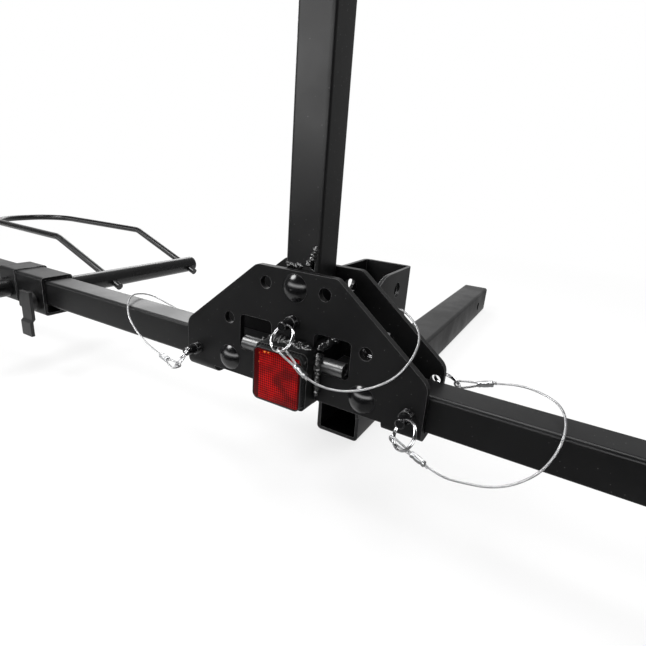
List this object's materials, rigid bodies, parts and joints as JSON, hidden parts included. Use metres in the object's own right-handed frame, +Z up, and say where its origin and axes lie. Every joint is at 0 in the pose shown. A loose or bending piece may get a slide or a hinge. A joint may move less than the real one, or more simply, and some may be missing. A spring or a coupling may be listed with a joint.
{
  "type": "hitch bike rack",
  "caption": "Folding hitch-mounted rack frame with a square shank, fold-up hinge bracket, pivot plates, mast, wheel arms with hoops, lock pins on wire lanyards and a reflector.",
  "frame": {"origin": "centre of the hitch pin hole in the shank", "axes": "+Y along the shank towards the vehicle, +Z up, +X to the right seen from behind the rack; the two wheel arms run along X"},
  "size_m": [1.606, 0.997, 0.7837],
  "materials": {
    "black_paint": "satin powder coat with a faint orange peel",
    "black_zinc": "glossy black plated steel",
    "bright_wire": "bright nickel plated",
    "cable_wire": "stranded stainless wire",
    "ferrule_alloy": "crimped bare aluminium",
    "washer_plastic": "matte black",
    "black_plastic": "satin moulded",
    "red_lens": "glossy prismatic red",
    "weld_paint": "satin powder coat over weld beads"
  },
  "bodies": {
    "receiver": {"shank": "black_paint", "u_bracket": "black_paint", "shank_welds": "weld_paint", "hinge_bolt": "black_zinc", "tilt_pin_guide": "black_paint"},
    "rack_frame": {"front_plate": "black_paint", "back_plate": "black_paint", "centre_tube": "black_paint", "grip_rod": "black_paint", "reflector_housing": "black_plastic", "reflector_lens": "red_lens", "tube_welds": "weld_paint", "pivot_bolt_left": "black_zinc", "pivot_bolt_right": "black_zinc", "pivot_bolt_mast": "black_zinc", "pivot_nuts": "black_zinc", "thrust_washers": "washer_plastic", "pin_collars": "black_zinc", "anchor_rings": "bright_wire", "anchor_ferrules": "ferrule_alloy", "lanyard_left": "cable_wire", "lanyard_right": "cable_wire", "lanyard_mast": "cable_wire"},
    "mast": {"mast_tube": "black_paint", "mast_cap": "black_plastic"},
    "left_arm": {"left_arm": "black_paint", "left_arm_cap": "black_plastic"},
    "right_arm": {"right_arm": "black_paint", "right_arm_cap": "black_plastic"},
    "front_hook": {"frame_hook_front": "black_paint", "hook_knob_front": "black_plastic"},
    "rear_hook": {"frame_hook_rear": "black_paint", "hook_knob_rear": "black_plastic"},
    "left_lock_pin": {"lock_pin_left": "black_zinc", "split_ring_left": "bright_wire", "ferrule_left": "ferrule_alloy"},
    "right_lock_pin": {"lock_pin_right": "black_zinc", "split_ring_right": "bright_wire", "ferrule_right": "ferrule_alloy"},
    "mast_lock_pin": {"lock_pin_mast": "black_zinc", "split_ring_mast": "bright_wire", "ferrule_mast": "ferrule_alloy"},
    "tilt_pin": {"tilt_pin": "black_zinc"},
    "left_holder": {"left_sleeve": "black_paint", "left_cross_tube_rear": "black_paint", "left_cross_tube_front": "black_paint", "left_hoop_rear": "black_paint", "left_hoop_front": "black_paint"},
    "left_clamp": {"left_clamp_lever": "black_plastic"},
    "right_holder": {"right_sleeve": "black_paint", "right_cross_tube_rear": "black_paint", "right_cross_tube_front": "black_paint", "right_hoop_rear": "black_paint", "right_hoop_front": "black_paint"},
    "right_clamp": {"right_clamp_lever": "black_plastic"}
  },
  "joints": [
    {"name": "fold_up", "type": "hinge", "parent": "receiver", "child": "rack_frame", "pos_m": [0, -0.529, 0.09], "axis": [1, 0, 0], "range_deg": [-90, 0]},
    {"name": "fold_up_lock", "type": "slide", "parent": "receiver", "child": "tilt_pin", "axis": [1, 0, 0], "range_m": [0, 0.057]},
    {"name": "mast_fold", "type": "hinge", "parent": "rack_frame", "child": "mast", "pos_m": [0, -0.663, 0.1623], "axis": [0, 1, 0], "range_deg": [-90, 0]},
    {"name": "left_arm_fold", "type": "hinge", "parent": "rack_frame", "child": "left_arm", "pos_m": [-0.0675, -0.663, 0.084], "axis": [0, 1, 0], "range_deg": [0, 90]},
    {"name": "right_arm_fold", "type": "hinge", "parent": "rack_frame", "child": "right_arm", "pos_m": [0.0675, -0.663, 0.084], "axis": [0, -1, 0], "range_deg": [0, 90]},
    {"name": "left_holder_slide", "type": "slide", "parent": "left_arm", "child": "left_holder", "axis": [-1, 0, 0], "range_m": [-0.15, 0.1]},
    {"name": "right_holder_slide", "type": "slide", "parent": "right_arm", "child": "right_holder", "axis": [1, 0, 0], "range_m": [-0.15, 0.1]},
    {"name": "left_clamp_turn", "type": "hinge", "parent": "left_holder", "child": "left_clamp", "pos_m": [-0.392, -0.693, 0.072], "axis": [0, 1, 0], "range_deg": [-90, 90]},
    {"name": "right_clamp_turn", "type": "hinge", "parent": "right_holder", "child": "right_clamp", "pos_m": [0.392, -0.693, 0.072], "axis": [0, 1, 0], "range_deg": [-90, 90]},
    {"name": "front_hook_slide", "type": "slide", "parent": "mast", "child": "front_hook", "axis": [0, 0, 1], "range_m": [-0.18, 0]},
    {"name": "rear_hook_slide", "type": "slide", "parent": "mast", "child": "rear_hook", "axis": [0, 0, 1], "range_m": [0, 0.08]},
    {"name": "left_lock", "type": "slide", "parent": "rack_frame", "child": "left_lock_pin", "axis": [0, -1, 0], "range_m": [-0.004, 0.012], "deforming": ["lanyard_left"]},
    {"name": "right_lock", "type": "slide", "parent": "rack_frame", "child": "right_lock_pin", "axis": [0, -1, 0], "range_m": [-0.004, 0.012], "deforming": ["lanyard_right"]},
    {"name": "mast_lock", "type": "slide", "parent": "rack_frame", "child": "mast_lock_pin", "axis": [0, -1, 0], "range_m": [-0.004, 0.012], "deforming": ["lanyard_mast"]}
  ]
}
